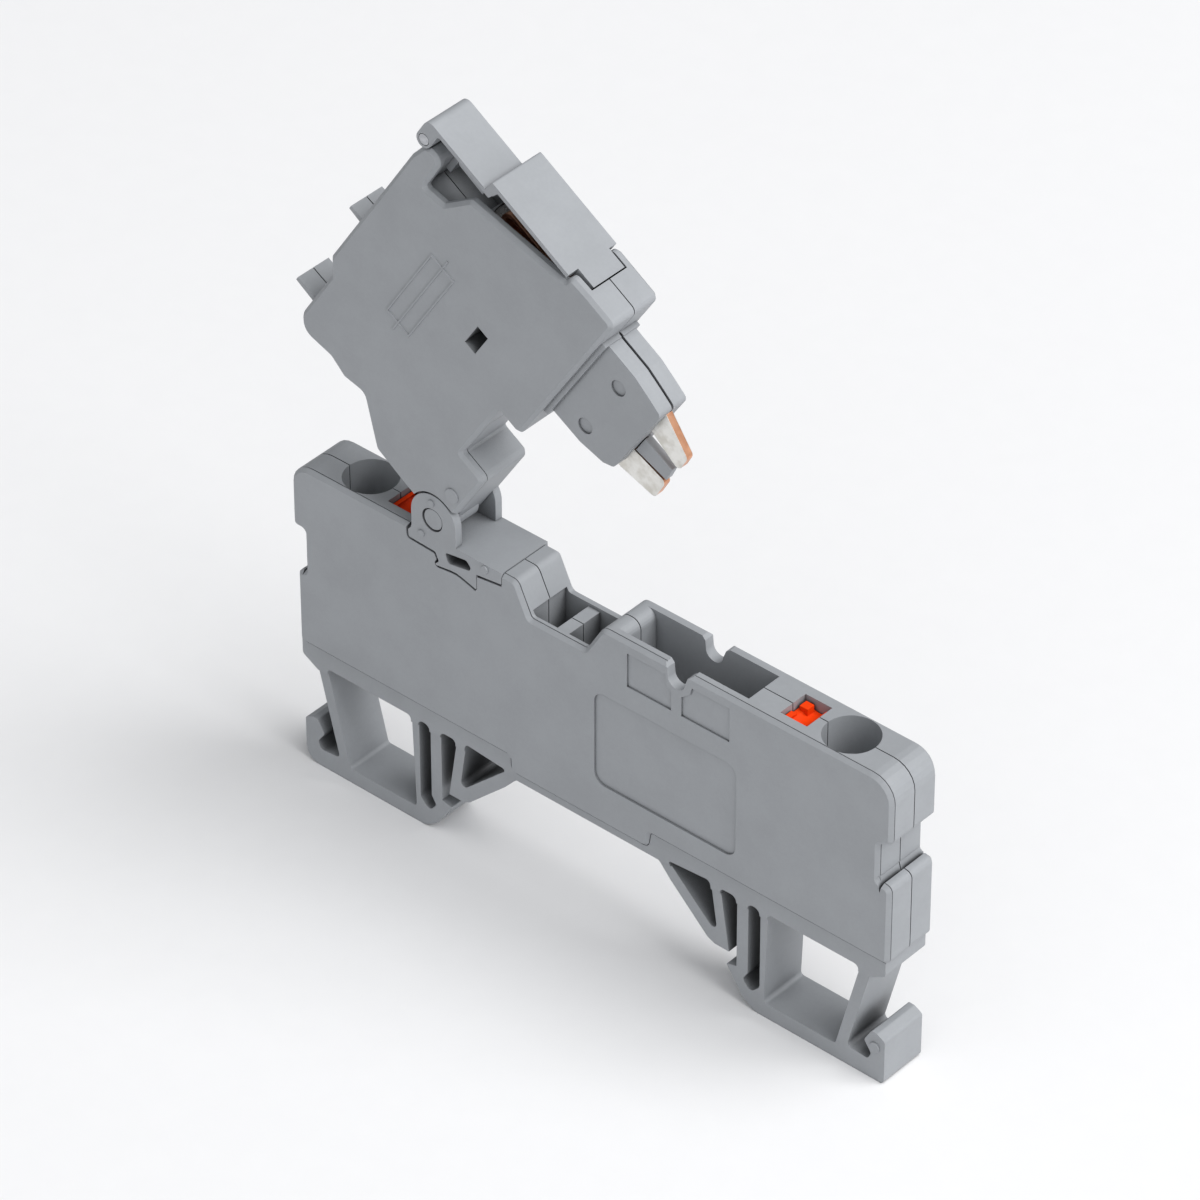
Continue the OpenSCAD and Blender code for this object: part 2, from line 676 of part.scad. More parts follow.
// Button with a dished top, a raised nub and a collar that stops it in its well
module push_button(side) {
    x0 = button_x - button_l / 2;
    x1 = button_x + button_l / 2;
    y = button_w / 2;
    low = collar_z - collar_h;
    floor_z = button_top - 0.6;
    dish_r = 1.9;
    color([0.93, 0.30, 0.10])
        at_side(side)
            union() {
                difference() {
                    slab(-y, y)
                        polygon(concat(
                            [[x0, low], [x1, low], [x1, button_top - 0.3], [x1 - 0.45, button_top - 0.3]],
                            arc([button_x + 0.2, floor_z + dish_r - 0.3], dish_r, -57, -123, 8),
                            [[x0 + 0.6, button_top - 0.3], [x0, button_top - 0.3]]));
                    block(x0 - cut, x1 - 0.5, 0.1 - y / 4, y + cut, floor_z, top_z);
                }
                block(x0 + 0.25, x0 + 1.15, 0.5, 1.4, floor_z - 0.5, button_top - 0.1);
                block(x0 - collar + button_play, x1 + collar - button_play, 0.05 - y, y - 0.05,
                      low + 0.05, collar_z);
                block(x0 + 0.3, x1 - 0.3, -y + 0.4, y - 0.4, stem_low, collar_z);
            }
}

module push_button_left() { push_button(left); }
module push_button_right() { push_button(right); }

// Left side and top of the lever's halves, from the nose round to the hub
function lever_left() = [
    [12.9, lever_h, edge_r], [11.2, lever_h - 1.1, 0.4], [2.5, lever_h - 1.1, 1.8],
    [3.5, 16.7, 0.8], [3.05, 14.6, 0.8], [3.8, 12.3, 0.8], [0, 8.2, 1],
    [lever_x0, 4.7, 1], [lever_x0, -lever_low - 0.35]
];

// Lower edge with the finger notch, from the hub to the right
function lever_lower() = [
    [notch_x[0], -lever_low - 0.3, edge_r], [notch_x[0], notch_w, 0.3],
    [notch_x[1], notch_w, 0.3], [notch_x[1], -lever_low, edge_r], [lever_l, -lever_low, edge_r]
];

function cover_outline() = rounded(concat(lever_lower(), [
    [lever_l, 2.3, edge_r], [lever_l - 0.15, lid_low + 2.1, edge_r],
    [lever_l - 1.2, lid_low + 2.1, 0.3],
    [lever_l - 4.1, split_w + 0.4, 0.8], [lever_l - 7.4, split_w + 2, 0.4],
    [lever_l - 8, lever_h - 2.7, 0.35], [lever_l - 3.9, lever_h - 2.6, 0.95],
    [lever_l - 3.9, lever_h - 0.45, 0.95], [lever_l - 6.4, lever_h, 2]], lever_left()));

function body_outline() = rounded(concat(lever_lower(), [
    [lever_l, lid_low + 2.1, edge_r], [lever_l - 1.4, lid_low + 2.1, 0.3],
    [lever_l - 1.4, split_w - 1.25, edge_r], [lid_out[0] - lid_t - 0.2, split_w - 0.8, 0.3],
    [lever_l - 4, split_w + 1.2, 0.4],
    [lever_l - 4, lever_h, 1.6]], lever_left()));

// Plug under the lever, with the shoulder that it hangs from
module plug() {
    slab(-plug_y, plug_y)
        polygon(rounded([
            [plug_x0 - 0.25, 0.5], [plug_x0 - 0.1, -5], [plug_x0 + 0.55, 1.1 - plug_depth, 0.5],
            [plug_x0 + 1.3, 0.1 - plug_depth, 0.5], [plug_x1 - 0.75, -plug_depth, 0.5],
            [plug_x1 - 0.4, 1.7 - plug_depth, 0.5], [plug_x1, -4.9, 0.5], [plug_x1, 0.5]]));
    slab(-plug_y - 0.5, plug_y + 0.5)
        polygon([[plug_x0 - 0.6, 0.3], [plug_x0 - 0.6, -1.4], [plug_x1 + 0.1, -1.4],
                 [plug_x1 + 0.1, 0.3]]);
}

function blade_outline(i) = let (
        x = blade_x[i],
        w = blade_w / 2,
        tip = x + blade_lean[i],
        tip_w = blade_tip_w[i] / 2
    )
    rounded([
        [x - w, blade_root], [x - w, -plug_depth], [tip - tip_w, blade_tip + 0.1, 0.5],
        [tip + tip_w, blade_tip + 0.25, 0.5], [x + w, -plug_depth], [x + w, blade_root]]);

// Path of the strip from the fuse's left end to the left blade
strip_path_left = concat(
    [[fuse_x0 - 0.25, fuse_z - 2]],
    arc([fuse_x0 - 0.3 - bend_r, fuse_z + 0.6], bend_r, 0, 180),
    [[fuse_x0 - 0.3 - 2 * bend_r, 4.5], [fuse_x0 + 0.5 - 2 * bend_r, 3.7],
     [blade_x[0] - 1, 3.7], [blade_x[0], 2.7], [blade_x[0], blade_root + 0.02]]);

// Path of the strip from the fuse's right end to the right blade
strip_path_right = concat(
    [[fuse_x1 + 0.95, fuse_z - 2.4], [fuse_x1 + 0.28, fuse_z - 1.2]],
    arc([fuse_x1 + 0.28 + bend_r, fuse_z + 0.7], bend_r, 180, 0),
    [[fuse_x1 + 1.75, 7.3], [fuse_x1 + 1.5, 3.4], [blade_x[1] + 1.4, 1.6],
     [blade_x[1], 0.6], [blade_x[1], blade_root + 0.02]]);

// Lug of the lever's body round the lid's pin
module lug(grow) {
    slab(lug_y[0] - grow, lug_y[1] + grow) {
        translate([pin_x, pin_w]) circle(knuckle_r + grow);
        polygon([[lever_l - 7, lever_h - 0.3], [lever_l - 7, lever_h - 3],
                 [lever_l - 5, lever_h - 3], [pin_x, pin_w - knuckle_r - grow],
                 [pin_x, pin_w + knuckle_r + grow], [lever_l - 5, lever_h - 0.3]]);
    }
}

// Thin ribs that hold a marker on the lever's top
module marker_ribs() {
    slab(-2, 2) {
        polygon([[5.4, lever_h - 1.5], [6, lever_h - 1.5], [5.9, lever_h - 0.7 + rib_h],
                 [5.5, lever_h - 0.7 + rib_h]]);
        polygon([[18.1, lever_h - 0.4], [18.7, lever_h - 0.4], [18.6, lever_h - 0.5 + rib_h],
                 [18.2, lever_h - 0.5 + rib_h]]);
    }
}

// What both halves of the lever leave free for the fuse, the strips and the lid
module lever_rooms() {
    room_y = strip_w / 2 + 0.1;
    translate([fuse_x0 - 0.2, 0, fuse_z])
        rotate([0, 90, 0]) cylinder(h = fuse_l + 1, r = fuse_room_r);
    for (path = [strip_path_left, strip_path_right])
        slab(-room_y, room_y) polygon(strip_outline(path, spring_t + 2 * strip_room));
    block(fuse_x0 - 0.4 - 2 * bend_r, fuse_x0, -room_y, room_y, fuse_z - 2.4, fuse_z + 2.2);
    slab(plate_y, back_y)
        polygon([[fuse_x1 + 0.3, 8], [lever_l - 3.8, lid_low], [lever_l + cut, lid_low],
                 [lever_l + cut, lever_h - 2.4], [lever_l - 8.2, lever_h - 2.4],
                 [lever_l - 8.2, fuse_z + 2.75], [fuse_x1 + 0.3, fuse_z + 2.75]]);
    block(square_x[0], square_x[1], -side_y - cut, back_y, square_w[0], square_w[1]);
    for (i = [0, 1])
        slab(-blade_t / 2 - 0.04, blade_t / 2 + 0.04) polygon(inset(blade_outline(i), -0.05));
    along_y(pin_x, pin_w, knuckle_r + 0.12, -side_y - cut, side_y + cut);
    for (y = [-side_y - cut, hub_y]) {
        along_y(0, 0, relief_r, y, y + side_y + cut - hub_y);
        translate([-relief_r, y, -3]) cube([2 * relief_r, side_y + cut - hub_y, 3]);
    }
}

module lever_cover() {
    color([0.56, 0.58, 0.60])
        on_lever()
            difference() {
                union() {
                    difference() {
                        union() {
                            difference() {
                                slab(-side_y, 1) polygon(cover_outline());
                                front_bevel(cover_outline());
                            }
                            plug();
                            marker_ribs();
                        }
                        block(-20, 60, -seam / 2, 10, -30, 40);
                        block(-20, leg_end[0] + 0.07, -leg_y - 0.07, 10, -30, leg_end[1] + 0.07);
                        block(plug_x0 - 1, 60, -plug_seam / 2, 10, -30, -1);
                        lever_rooms();
                        lug(0.1);
                    }
                    for (p = lever_snaps) along_y(p[0], p[1], lever_snap_r, -0.5, 1.2);
                }
                for (x = [plug_x0 + 1.9, plug_x1 - 2.75])
                    along_y(x, -4.45, 0.8, -plug_y - cut, 0.2 - plug_y);
            }
}

module lever_body() {
    divider = [[plug_x0 + 3.5, -plug_depth + 0.2], [plug_x0 + 4.1, blade_tip + 0.4],
               [plug_x0 + 5.6, blade_tip + 0.6], [plug_x0 + 5.5, -plug_depth + 0.2]];
    color([0.56, 0.58, 0.60])
        on_lever()
            difference() {
                union() {
                    difference() {
                        union() {
                            difference() {
                                slab(-leg_y, side_y) polygon(body_outline());
                                rear_bevel(body_outline());
                            }
                            plug();
                            marker_ribs();
                        }
                        block(-20, 60, -10, seam / 2, leg_end[1], 40);
                        block(leg_end[0], 60, -10, seam / 2, -30, leg_end[1] + 0.5);
                        block(plug_x0 - 1, 60, -10, plug_seam / 2, -30, -1);
                        lever_rooms();
                    }
                    along_y(0, 0, hub_r, -hub_y, hub_back);
                    along_y(0, 0, trunnion_r, -side_y, -hub_y + 0.1);
                    along_y(0, 0, trunnion_r, hub_back - 0.1, side_y);
                    lug(0);
                    slab(seam / 2, blade_t / 2) polygon(rounded(divider));
                    slab(-blade_t / 2, blade_t / 2)
                        intersection() {
                            polygon(rounded(divider));
                            translate([0, -20]) square([lever_l, 20 - plug_depth - 0.05]);
                        }
                }
                along_y(pin_x, pin_w, pin_r + pin_play, lug_y[0] - cut, lug_y[1] + cut);
                for (p = lever_snaps)
                    along_y(p[0], p[1], lever_snap_r + snap_play, -cut, 1.3);
            }
}

module blade(i) {
    color([0.80, 0.80, 0.78])
        on_lever() slab(-blade_t / 2, blade_t / 2) polygon(blade_outline(i));
}

module blade_left() { blade(0); }
module blade_right() { blade(1); }

module contact_strip(path) {
    color([0.78, 0.50, 0.34])
        on_lever() slab(-strip_w / 2, strip_w / 2) polygon(strip_outline(path, spring_t));
}

module contact_strip_left() { contact_strip(strip_path_left); }
module contact_strip_right() { contact_strip(strip_path_right); }

// A body turned about the fuse's axis, from a profile of [radius, place along it]
module on_fuse(profile) {
    on_lever()
        translate([fuse_x0, 0, fuse_z])
            rotate([0, 90, 0]) rotate_extrude() polygon(profile);
}

module fuse_tube() {
    color([0.80, 0.86, 0.88, 0.5])
        on_fuse([[tube_r - 0.5, 0.5], [tube_r, 0.5], [tube_r, fuse_l - 0.5],
                 [tube_r - 0.5, fuse_l - 0.5]]);
}

// Cap from its closed end at a to its rim at b
module fuse_cap(a, b) {
    in = a + 0.45 * sign(b - a);
    color([0.82, 0.82, 0.80])
        on_fuse([[0, a], [cap_r, a], [cap_r, b], [tube_r + 0.05, b], [tube_r + 0.05, in], [0, in]]);
}

module fuse_cap_left() { fuse_cap(0, cap_l); }
module fuse_cap_right() { fuse_cap(fuse_l, fuse_l - cap_l); }

module fuse_wire() {
    color([0.75, 0.76, 0.78])
        on_fuse([[0, 0.45], [0.15, 0.45], [0.15, fuse_l - 0.45], [0, fuse_l - 0.45]]);
}

module lid_pin() {
    color([0.80, 0.80, 0.82]) on_lever() along_y(pin_x, pin_w, pin_r, -side_y, lid_back);
}

// Outline of the lid's narrow part, t thick, from the pin down to the step
function lid_narrow(t) = rounded([
    [lid_out[0] - t, split_w], [lid_out[0], split_w], [lid_out[0], pin_w + knuckle_r, 0.8],
    [pin_x, pin_w + knuckle_r], [pin_x, pin_w - knuckle_r], [lid_out[0] - t, pin_w - knuckle_r, 0.3]]);

// Outline of its broad part, t thick, below the step
function lid_broad(t) = let (foot = lid_low + 2.1 + lid_gap) rounded([
    [lid_out[1] - t, foot], [lid_out[1], foot], [lid_out[1], split_w - 0.1, 0.2],
    [lid_out[0] - 0.2, split_w], [lid_out[0] - t, split_w], [lid_out[0] - t, split_w - 0.7],
    [lid_out[1] - t, split_w - 1.1]]);

// Lid with a narrow part at the pin, a broad part below it and a tongue at its foot
module fuse_lid() {
    inner = lid_out[0] - lid_t;
    rib = [[inner - 1.3, split_w + 0.2], [inner + 0.3, split_w + 0.2], [inner + 0.3, lever_h - 1.4],
           [inner - 0.5, lever_h - 1.4], [inner - 0.5, lever_h - 2.9, 0.3],
           [inner - 1.2, lever_h - 3.6, 0.3]];
    color([0.56, 0.58, 0.60])
        on_lever()
            difference() {
                union() {
                    slab(-side_y, lip_y + 0.1) polygon(lid_narrow(lip_t));
                    slab(lip_y, lid_back) polygon(lid_narrow(lid_t));
                    slab(-side_y, lid_back)
                        translate([pin_x, pin_w]) circle(knuckle_r);
                    slab(-side_y, lip_y + 0.1) polygon(lid_broad(lip_t));
                    slab(lip_y, side_y) polygon(lid_broad(lid_t));
                    slab(lip_y + 0.3, lip_y + 1) polygon(rounded(rib));
                    block(lid_out[1] - lid_t, lid_out[1], -1.85, back_y - 0.1,
                          lid_low + lid_gap, lid_low + 2.2 + lid_gap);
                }
                along_y(pin_x, pin_w, pin_r + pin_play, -side_y - cut, side_y);
                along_y(inner - 0.7, split_w + 1.7, 0.3, lip_y, lip_y + 1.2);
                lug(0.1);
            }
}

housing_body();
housing_cover();
hinge_bracket();
busbar_left();
busbar_right();
contact_fork_left();
contact_fork_right();
clamp_spring_left();
clamp_spring_right();
push_button_left();
push_button_right();
lever_body();
lever_cover();
blade_left();
blade_right();
contact_strip_left();
contact_strip_right();
fuse_tube();
fuse_cap_left();
fuse_cap_right();
fuse_wire();
lid_pin();
fuse_lid();
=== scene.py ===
"""Finishes, moulded marks, studio and camera for the fuse terminal block.

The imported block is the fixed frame. Lengths are in metres unless a comment gives
millimetres. +X runs along the block, +Y across it and +Z up, with the origin at the
rail's top face.
"""

import math

import bpy
import numpy as np
from mathutils import Matrix, Vector


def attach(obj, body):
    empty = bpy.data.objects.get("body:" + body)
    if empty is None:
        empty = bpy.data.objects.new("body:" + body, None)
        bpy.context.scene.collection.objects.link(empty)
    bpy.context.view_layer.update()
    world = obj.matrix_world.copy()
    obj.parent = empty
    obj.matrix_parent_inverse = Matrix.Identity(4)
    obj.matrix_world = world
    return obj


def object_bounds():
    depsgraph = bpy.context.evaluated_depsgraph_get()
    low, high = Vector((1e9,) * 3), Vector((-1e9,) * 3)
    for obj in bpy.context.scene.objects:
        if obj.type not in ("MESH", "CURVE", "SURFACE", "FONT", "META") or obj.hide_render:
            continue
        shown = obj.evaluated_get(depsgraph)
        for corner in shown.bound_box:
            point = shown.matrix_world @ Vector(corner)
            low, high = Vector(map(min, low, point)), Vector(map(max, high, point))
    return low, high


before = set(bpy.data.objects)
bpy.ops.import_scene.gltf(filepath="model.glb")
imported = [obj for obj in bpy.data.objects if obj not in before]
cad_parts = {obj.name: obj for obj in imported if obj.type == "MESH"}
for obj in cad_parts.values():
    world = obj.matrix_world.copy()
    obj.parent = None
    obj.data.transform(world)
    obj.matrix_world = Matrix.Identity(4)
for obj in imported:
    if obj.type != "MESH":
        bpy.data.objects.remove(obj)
cad_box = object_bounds()

MM = 0.001


# Shader values


class Value:
    """An output of a shader node. Arithmetic on it adds Math nodes to its tree."""

    def __init__(self, nodes, socket):
        self.nodes = nodes
        self.socket = socket

    def math(self, operation, *others):
        return self.nodes.node("ShaderNodeMath", {"operation": operation}, [self, *others])

    def __add__(self, other):
        return self.math("ADD", other)

    __radd__ = __add__

    def __sub__(self, other):
        return self.math("SUBTRACT", other)

    def __rsub__(self, other):
        return self.nodes.node("ShaderNodeMath", {"operation": "SUBTRACT"}, [other, self])

    def __mul__(self, other):
        return self.math("MULTIPLY", other)

    __rmul__ = __mul__

    def __abs__(self):
        return self.math("ABSOLUTE")

    def step(self, low, high):
        """0 below low, 1 above high, and a smooth ramp between them."""
        return self.nodes.node(
            "ShaderNodeMapRange",
            {"interpolation_type": "SMOOTHSTEP"},
            {"Value": self, "From Min": low, "From Max": high},
        )


class Nodes:
    """A node tree, with one method that adds any node and wires its sockets."""

    def __init__(self, tree):
        self.tree = tree

    def node(self, kind, settings=None, inputs=None, output=0):
        made = self.tree.nodes.new(kind)
        for key, value in (settings or {}).items():
            setattr(made, key, value)
        pairs = inputs.items() if isinstance(inputs, dict) else enumerate(inputs or [])
        for key, value in pairs:
            self.wire(made.inputs[key], value)
        return Value(self, made.outputs[output])

    def wire(self, socket, value):
        if isinstance(value, Value):
            self.tree.links.new(value.socket, socket)
        else:
            socket.default_value = value


class Finish(Nodes):
    """A material on the Principled shader, patterned on the object's own coordinates."""

    def __init__(self, name, **sockets):
        self.material = bpy.data.materials.new(name)
        self.material.use_nodes = True
        super().__init__(self.material.node_tree)
        self.shader = self.tree.nodes["Principled BSDF"]
        self.set(**sockets)

    def set(self, **sockets):
        for name, value in sockets.items():
            self.wire(self.shader.inputs[name.replace("_", " ")], value)

    def place(self):
        return self.node("ShaderNodeTexCoord", output="Object")

    def axis(self, name):
        return self.node("ShaderNodeSeparateXYZ", inputs=[self.place()], output=name)

    def noise(self, size, detail=2.0, roughness=0.5, stretch=None):
        """Noise from 0 to 1, with features of about the given size."""
        place = self.place()
        if stretch:
            place = self.node("ShaderNodeMapping", inputs={"Vector": place, "Scale": stretch})
        return self.node(
            "ShaderNodeTexNoise",
            inputs={"Vector": place, "Scale": 1 / size, "Detail": detail, "Roughness": roughness},
        )

    def openness(self, reach, own_faces_only=False):
        """1 on an open face, falling to 0 where faces within reach close it in."""
        return self.node(
            "ShaderNodeAmbientOcclusion",
            {"only_local": own_faces_only, "samples": 8},
            {"Distance": reach},
            output="AO",
        )

    def mix(self, factor, a, b):
        """Colour a where factor is 0 and colour b where it is 1."""
        colours = {0: factor, 6: a, 7: b}
        return self.node("ShaderNodeMix", {"data_type": "RGBA"}, colours, output=2)

    def round_edges(self, radius, height, strength, distance):
        """Softens sharp edges over a radius, with the height as a bump on top."""
        bevel = self.node("ShaderNodeBevel", {"samples": 6}, {"Radius": radius})
        bump = {"Strength": strength, "Distance": distance, "Height": height, "Normal": bevel}
        self.set(Normal=self.node("ShaderNodeBump", inputs=bump))


# Finishes

FLOW_CLOUD = 7 * MM
COLOUR_SPECK = 0.35 * MM
MATT_PATCH = 1.6 * MM
SPARK_PIT = 0.09 * MM
SPARK_WAVE = 0.6 * MM
SPARK_DEPTH = 0.012 * MM
HOLLOW_SHADE_REACH = 9 * MM  # walls this near make a face a hollow that gets painted shade
# gaps between parts this narrow get painted shade
SEAM_SHADE_REACH = 0.5 * MM

MOULDED_EDGE = 0.05 * MM
STAMPED_EDGE = 0.06 * MM
BLADE_FACE = 0.385 * MM  # the blades' faces stand this far from the middle plane
BLADE_TIN = 0.36 * MM  # nearer to it than this, the cut edge is bare

TIN = (0.80, 0.79, 0.76, 1)
DULL_TIN = (0.62, 0.60, 0.55, 1)
COPPER = (0.78, 0.42, 0.26, 1)
DULL_COPPER = (0.60, 0.28, 0.16, 1)
GLASS = (0.96, 0.98, 0.98, 1)


def polyamide(name, light, dark, grain=1.0, gloss=0.5, painted_shade=0.88):
    """Moulded plastic: a fine matt grain, faint flow clouds, and painted shade that darkens
    hollows and the seams between parts.
    """
    finish = Finish(name, IOR=1.5, Specular_IOR_Level=gloss)
    clouds = finish.noise(FLOW_CLOUD, detail=3.0, roughness=0.6)
    specks = finish.noise(COLOUR_SPECK)
    tone = clouds * 0.75 + specks * 0.25
    # Painted shade: ambient occlusion darkens the base colour in the part's own hollows and in
    # narrow seams between parts.
    hollow = finish.openness(HOLLOW_SHADE_REACH, own_faces_only=True)
    seam = finish.openness(SEAM_SHADE_REACH)
    unshaded = hollow.step(0.05, 0.75) * seam.step(0.1, 0.75)
    surface = finish.mix(tone.step(0.3, 0.7), dark, light)
    shade_colour = tuple((1 - painted_shade) * channel for channel in dark[:3]) + (1.0,)
    finish.set(
        Base_Color=finish.mix(unshaded, shade_colour, surface),
        Roughness=0.5 + 0.12 * finish.noise(MATT_PATCH, detail=3.0),
    )
    skin = finish.noise(SPARK_PIT) * 0.7 + finish.noise(SPARK_WAVE, detail=1.0) * 0.3
    finish.round_edges(MOULDED_EDGE, skin, strength=0.35 * grain, distance=SPARK_DEPTH)
    return finish.material


def tinned(name):
    """Blades stamped from tinned strip: tin on the faces, bare copper on the cut edges."""
    finish = Finish(name, Metallic=1.0)
    cut_edge = 1 - abs(finish.axis("Y")).step(BLADE_TIN, BLADE_FACE)
    scratch = finish.noise(0.5 * MM, detail=4.0, roughness=0.7, stretch=(1.0, 1.0, 0.15))
    blotch = finish.noise(1.2 * MM, detail=3.0)
    tin = finish.mix(blotch.step(0.35, 0.7), TIN, DULL_TIN)
    copper = finish.mix(blotch.step(0.3, 0.7), COPPER, DULL_COPPER)
    finish.set(
        Base_Color=finish.mix(cut_edge, tin, copper),
        Roughness=0.28 + 0.22 * scratch,
    )
    finish.round_edges(STAMPED_EDGE, scratch, strength=0.4, distance=0.01 * MM)
    return finish.material


def metal(name, light, dark, roughness):
    """Drawn or stamped metal with faint rolling marks."""
    finish = Finish(name, Metallic=1.0)
    marks = finish.noise(0.4 * MM, detail=4.0, roughness=0.6, stretch=(0.3, 1.0, 1.0))
    finish.set(
        Base_Color=finish.mix(marks.step(0.3, 0.75), light, dark),
        Roughness=roughness + 0.15 * marks,
    )
    finish.round_edges(0.05 * MM, marks, strength=0.25, distance=0.008 * MM)
    return finish.material


def glass(name):
    """Clear tube glass with a trace of unevenness."""
    finish = Finish(name, Transmission_Weight=1.0, IOR=1.47)
    waves = finish.noise(2 * MM, detail=1.0)
    finish.set(Base_Color=GLASS, Roughness=0.03 + 0.02 * waves)
    return finish.material


def grey(level):
    """The housing's grey, which leans a little to blue."""
    return (level * 0.955, level * 0.995, level * 1.05, 1.0)


GREY_LIGHT = grey(0.345)
GREY_DARK = grey(0.315)

finishes = {
    "housing": polyamide("moulded_grey_housing", GREY_LIGHT, GREY_DARK),
    "lever": polyamide("moulded_grey_lever", GREY_LIGHT, GREY_DARK, grain=1.1),
    # The button's hollows and seams get a lighter painted shade.
    "button": polyamide(
        "moulded_orange",
        light=(0.9, 0.056, 0.001, 1),
        dark=(0.8, 0.044, 0.001, 1),
        grain=0.5,
        gloss=0.15,
        painted_shade=0.2,
    ),
    "tinned": tinned("tinned_blade"),
    "bar": metal("tinned_bar", (0.78, 0.77, 0.74, 1), (0.62, 0.61, 0.58, 1), 0.32),
    "copper": metal("bare_copper_strip", (0.82, 0.46, 0.30, 1), (0.62, 0.30, 0.18, 1), 0.28),
    "spring": metal("spring_steel", (0.52, 0.53, 0.55, 1), (0.38, 0.39, 0.41, 1), 0.3),
    "cap": metal("nickel_cap", (0.80, 0.79, 0.76, 1), (0.68, 0.67, 0.64, 1), 0.18),
    "glass": glass("fuse_glass"),
}

node_finish = {
    "housing_body": "housing",
    "housing_cover": "housing",
    "hinge_bracket": "housing",
    "lever_body": "lever",
    "lever_cover": "lever",
    "fuse_lid": "lever",
    "push_button_left": "button",
    "push_button_right": "button",
    "blade_left": "tinned",
    "blade_right": "tinned",
    "busbar_left": "bar",
    "busbar_right": "bar",
    "contact_fork_left": "bar",
    "contact_fork_right": "bar",
    "contact_strip_left": "copper",
    "contact_strip_right": "copper",
    "clamp_spring_left": "spring",
    "clamp_spring_right": "spring",
    "lid_pin": "spring",
    "fuse_cap_left": "cap",
    "fuse_cap_right": "cap",
    "fuse_wire": "cap",
    "fuse_tube": "glass",
}
for node_name, finish_name in node_finish.items():
    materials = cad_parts[node_name].data.materials
    materials.clear()
    materials.append(finishes[finish_name])


# Moulded marks, in millimetres

SUNK = 0.02  # how far a mark reaches into its face
LINE_WIDTH = 0.24
DISC_HEIGHT = 0.18
DISC_SIDES = 48


def tube_faces(rows, columns, closed):
    """Quads between the rows of a grid whose columns go round, closed on itself if asked."""
    bands = rows if closed else rows - 1
    row, column = np.meshgrid(np.arange(bands), np.arange(columns), indexing="ij")
    here, there = row * columns, (row + 1) % rows * columns
    beside = (column + 1) % columns
    quads = np.stack([here + column, here + beside, there + beside, there + column], -1)
    return quads.reshape(-1, 4).tolist()


def end_faces(rows, columns):
    """The first row, turned round, and the last row of such a grid as two faces."""
    last = (rows - 1) * columns
    return [list(range(columns - 1, -1, -1)), list(range(last, last + columns))]


def lift(plan, heights):
    """Gives a grid of (u, w) a third coordinate, one height for each row or column."""
    return np.concatenate([plan, np.broadcast_to(heights, (*plan.shape[:2], 1))], 2)


class Front:
    """The front of one node, in millimetres of its own plan turned about a pivot.

    A point (u, w) stands at pivot + u (cos t, sin t) + w (-sin t, cos t) in x and z, and its
    y is where a ray from the front meets the node.
    """

    def __init__(self, node, body, pivot=(0, 0), turn=0):
        c, s = math.cos(math.radians(turn)), math.sin(math.radians(turn))
        self.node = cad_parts[node]
        self.body = body
        self.pivot = np.array(pivot)
        self.axes = np.array([[c, s], [-s, c]])
        self.finish = finishes[node_finish[node]]

    def raise_mark(self, name, points, faces):
        """Adds a mesh from an array of (u, w, height over the face)."""
        points = points.reshape(-1, 3)
        xz = (self.pivot + points[:, :2] @ self.axes) * MM
        start = (xz[0, 0], cad_box[0][1] - MM, xz[0, 1])
        met, place, _, _ = self.node.ray_cast(start, (0, 1, 0))
        if not met:
            raise ValueError(f"{name} has no face behind it")
        y = place[1] - points[:, 2] * MM
        mesh = bpy.data.meshes.new(name)
        mesh.from_pydata(np.stack([xz[:, 0], y, xz[:, 1]], 1).tolist(), [], faces)
        mesh.materials.append(self.finish)
        mark = bpy.data.objects.new(name, mesh)
        bpy.context.scene.collection.objects.link(mark)
        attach(mark, self.body)

    def line(self, name, path, height, closed=False):
        """A raised line: the section (-w/2, 0), (-w/3, h), (w/3, h), (w/2, 0) along a path.

        At a corner its sides are moved out by 1 / cos(half the turn), which keeps them parallel.
        """
        path = np.asarray(path, float)
        into = path - np.roll(path, 1, 0)
        out = np.roll(path, -1, 0) - path
        if not closed:
            into[0], out[-1] = out[0], into[-1]
        into /= np.linalg.norm(into, axis=1)[:, None]
        out /= np.linalg.norm(out, axis=1)[:, None]
        across = (into + out) @ np.array([[0, -1], [1, 0]])
        across *= 2 / (across**2).sum(1)[:, None]
        side = np.array([-0.5, -1 / 3, 1 / 3, 0.5]) * LINE_WIDTH
        up = np.array([-SUNK, height, height, -SUNK])
        plan = path[:, None] + across[:, None] * side[:, None]
        rows, columns = plan.shape[:2]
        faces = tube_faces(rows, columns, closed)
        if not closed:
            faces += end_faces(rows, columns)
        self.raise_mark(name, lift(plan, up[:, None]), faces)

    def disc(self, name, centre, radius):
        """A raised disc: circles of radius r at its foot and edge, and of 0.95 r on top."""
        angle = np.linspace(0, 2 * np.pi, DISC_SIDES, endpoint=False)
        circle = np.stack([np.cos(angle), np.sin(angle)], 1)
        scale = np.array([1, 1, 0.95])
        up = np.array([-SUNK, 0.7 * DISC_HEIGHT, DISC_HEIGHT])
        plan = scale[:, None, None] * radius * circle + centre
        faces = tube_faces(len(up), DISC_SIDES, closed=False) + end_faces(len(up), DISC_SIDES)
        self.raise_mark(name, lift(plan, up[:, None, None]), faces)


